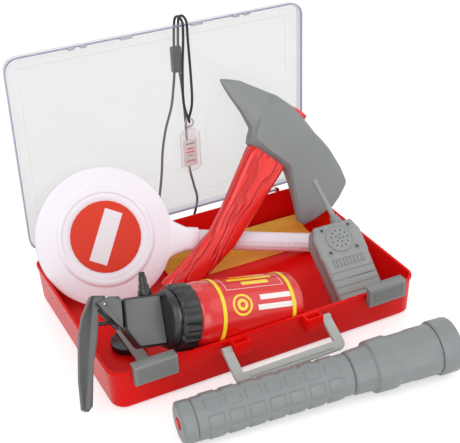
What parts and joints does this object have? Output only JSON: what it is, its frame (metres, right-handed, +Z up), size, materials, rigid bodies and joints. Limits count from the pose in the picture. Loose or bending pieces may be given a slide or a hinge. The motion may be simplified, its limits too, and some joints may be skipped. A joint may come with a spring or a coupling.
{
  "type": "toy firefighter kit",
  "caption": "Open toy firefighter case with a clear lid, a stop paddle, an axe, a pump extinguisher, a two-way radio, a torch and a tag on a neck cord.",
  "frame": {"origin": "on the floor under the middle of the case's tray", "axes": "+X along the tray to the right seen from the front, +Y from the front rim to the lid's hinges, +Z up"},
  "size_m": [0.42, 0.3992, 0.2987],
  "materials": {
    "red_plastic": "glossy red moulded plastic",
    "red_tool_plastic": "glossy red moulded plastic with carved grooves",
    "red_bottle": "glossy red blown plastic",
    "grey_plastic": "satin grey moulded plastic",
    "grey_axe": "satin grey moulded plastic",
    "grey_torch": "satin grey moulded plastic",
    "grey_radio": "satin grey moulded plastic",
    "black_plastic": "satin black moulded plastic",
    "white_plastic": "soft white moulded plastic",
    "white_grip": "soft white ribbed plastic tube",
    "label_red": "printed red label",
    "band_yellow": "printed yellow band",
    "paper": "printed paper card",
    "clear_lid": "clear plastic with violet-tinted edges",
    "clear_small": "clear plastic",
    "steel": "plated steel",
    "mirror_metal": "vacuum-plated plastic",
    "cord_black": "woven black cord",
    "cell_wrap": "printed sleeve",
    "button_red": "red moulded plastic"
  },
  "bodies": {
    "case": {"case_tray": "red_plastic", "hinge_pin_left": "steel", "hinge_pin_right": "steel", "latch_pin_left": "steel", "latch_pin_right": "steel", "paper_sheet": "paper", "spare_strip": "grey_plastic", "spare_cap": "black_plastic"},
    "lid": {"lid": "clear_lid", "cord_front": "cord_black", "cord_loop": "cord_black", "cord_clasp": "black_plastic", "tag_ring": "steel", "tag_case": "clear_small", "tag_card": "white_plastic"},
    "handle": {"bail_handle": "grey_plastic"},
    "latch_left": {"latch_left": "grey_plastic"},
    "latch_right": {"latch_right": "grey_plastic"},
    "paddle": {"paddle_disc": "white_plastic", "label_front": "label_red", "label_back": "label_red", "paddle_neck": "white_plastic", "paddle_grip": "white_grip", "grip_end_cap": "white_grip"},
    "axe": {"axe_head": "grey_axe", "axe_handle": "red_tool_plastic"},
    "extinguisher": {"bottle": "red_bottle", "band_low": "band_yellow", "band_high": "band_yellow", "pump_body": "black_plastic", "nozzle": "black_plastic", "pump_cover": "black_plastic", "lever_pin": "steel", "lever_spring": "steel", "dip_tube": "clear_small"},
    "screw_cap": {"screw_cap": "black_plastic"},
    "lever": {"lever": "black_plastic"},
    "piston": {"piston_rod": "black_plastic"},
    "radio": {"radio_front": "grey_radio", "radio_back": "grey_radio", "radio_screw_1": "steel", "radio_screw_2": "steel", "radio_screw_3": "steel", "radio_screw_4": "steel", "antenna": "grey_radio"},
    "talk_button": {"talk_button": "grey_radio"},
    "torch": {"torch_body": "grey_torch", "torch_tail_cap": "grey_torch", "torch_head": "grey_torch", "torch_bezel": "grey_torch", "torch_lens": "clear_small", "torch_reflector": "mirror_metal", "torch_bulb": "clear_small", "torch_cell_1": "cell_wrap", "torch_cell_2": "cell_wrap", "torch_cell_3": "cell_wrap", "contact_spring": "steel"},
    "torch_button": {"torch_button": "button_red"}
  },
  "joints": [
    {"name": "lid_hinge", "type": "hinge", "parent": "case", "child": "lid", "pos_m": [0, 0.1268, 0.0486], "axis": [1, 0, 0], "range_deg": [-8, 4]},
    {"name": "handle_swing", "type": "hinge", "parent": "case", "child": "handle", "pos_m": [0, -0.13075, 0.03925], "axis": [1, 0, 0], "range_deg": [-115, 20]},
    {"name": "latch_left_turn", "type": "hinge", "parent": "case", "child": "latch_left", "pos_m": [-0.135, -0.1286, 0.0376], "axis": [1, 0, 0], "range_deg": [0, 90]},
    {"name": "latch_right_turn", "type": "hinge", "parent": "case", "child": "latch_right", "pos_m": [0.135, -0.1286, 0.0376], "axis": [1, 0, 0], "range_deg": [0, 90]},
    {"name": "paddle_lift", "type": "slide", "parent": "case", "child": "paddle", "axis": [0, -0.0698, 0.9976], "range_m": [0, 0.1]},
    {"name": "axe_lift", "type": "slide", "parent": "paddle", "child": "axe", "axis": [0, 0, 1], "range_m": [0, 0.1]},
    {"name": "extinguisher_lift", "type": "slide", "parent": "case", "child": "extinguisher", "axis": [0, 0, 1], "range_m": [0, 0.1]},
    {"name": "screw_cap_turn", "type": "hinge", "parent": "extinguisher", "child": "screw_cap", "pos_m": [-0.10065, -0.08817, 0.06702], "axis": [-0.9748, -0.0288, 0.2211], "range_deg": [0, 450]},
    {"name": "lever_squeeze", "type": "hinge", "parent": "extinguisher", "child": "lever", "pos_m": [-0.16603, -0.07686, 0.09913], "axis": [0.1593, -0.7836, 0.6004], "range_deg": [0, 15], "stiffness_Nm_per_rad": 0.15, "springref_deg": -171.89},
    {"name": "piston_stroke", "type": "slide", "parent": "extinguisher", "child": "piston", "axis": [0.9748, 0.0288, -0.2211], "range_m": [0, 0.006]},
    {"name": "radio_lift", "type": "slide", "parent": "case", "child": "radio", "axis": [0, 0, 1], "range_m": [0, 0.1]},
    {"name": "talk_button_press", "type": "slide", "parent": "radio", "child": "talk_button", "axis": [-0.9979, 0.0627, -0.0187], "range_m": [0, 0.0015], "stiffness_N_per_m": 300},
    {"name": "torch_lift", "type": "slide", "parent": "case", "child": "torch", "axis": [0, 0, 1], "range_m": [0, 0.1]},
    {"name": "torch_button_press", "type": "slide", "parent": "torch", "child": "torch_button", "axis": [0.9936, -0.1094, 0.0274], "range_m": [0, 0.001], "stiffness_N_per_m": 400}
  ],
  "couplings": [
    {"joint": "piston_stroke", "follows": "lever_squeeze", "m_per_rad": 0.0195}
  ]
}
